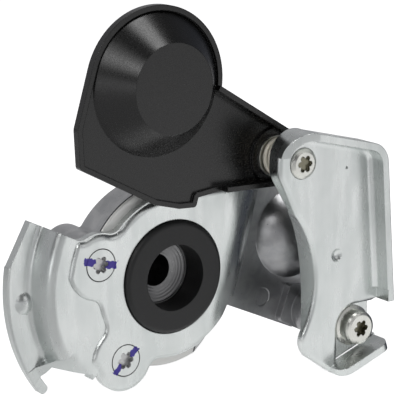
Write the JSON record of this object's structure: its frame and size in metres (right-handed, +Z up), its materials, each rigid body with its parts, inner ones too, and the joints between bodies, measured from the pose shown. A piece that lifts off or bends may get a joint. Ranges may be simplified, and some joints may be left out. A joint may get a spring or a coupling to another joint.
{
  "type": "pneumatic quick coupling head",
  "caption": "Palm coupling head of a pneumatic line: claw plate with rubber seal ring, ribbed arm with threaded port, pressed side bracket and a sprung swing cover.",
  "frame": {"origin": "on the coupling axis at the front face of the seal ring", "axes": "+X towards the port and the bracket, +Y from the seal face back into the head, +Z up towards the open cover"},
  "size_m": [0.129, 0.061, 0.1278],
  "materials": {
    "cast_aluminium": "die cast, satin",
    "zinc_steel": "bright zinc plated sheet, semi gloss",
    "screw_zinc": "zinc plated",
    "black_plastic": "moulded, semi gloss",
    "seal_rubber": "smooth",
    "spring_steel": "bare wire, dull",
    "turned_brass": "turned",
    "sleeve_aluminium": "turned, dull"
  },
  "bodies": {
    "head": {"housing": "cast_aluminium", "guide_plate": "zinc_steel", "side_bracket": "zinc_steel", "valve_seat": "turned_brass", "seat_o_ring": "seal_rubber", "stem_o_ring": "seal_rubber", "valve_spring": "spring_steel", "plate_screw_upper": "screw_zinc", "plate_screw_lower": "screw_zinc", "bracket_screw": "screw_zinc", "hinge_screw": "screw_zinc", "hinge_bush": "zinc_steel", "thrust_washer": "screw_zinc", "cover_spring": "spring_steel"},
    "valve": {"seal_ring": "seal_rubber", "valve_sleeve": "sleeve_aluminium", "disc_washer": "seal_rubber", "valve_disc": "turned_brass"},
    "lifter": {"spring_seat": "screw_zinc"},
    "cover": {"cover": "black_plastic"}
  },
  "joints": [
    {"name": "valve_slide", "type": "slide", "parent": "head", "child": "valve", "axis": [0, 1, 0], "range_m": [0, 0.0025], "stiffness_N_per_m": 4000, "springref_m": -0.002, "deforming": ["valve_spring"]},
    {"name": "cover_lift", "type": "slide", "parent": "head", "child": "lifter", "axis": [0, -1, 0], "range_m": [0, 0.003], "stiffness_N_per_m": 4000, "springref_m": -0.003, "deforming": ["cover_spring"]},
    {"name": "cover_swing", "type": "hinge", "parent": "lifter", "child": "cover", "pos_m": [0.0379, 0, 0.0362], "axis": [0, -1, 0], "range_deg": [0, 75.2]}
  ]
}
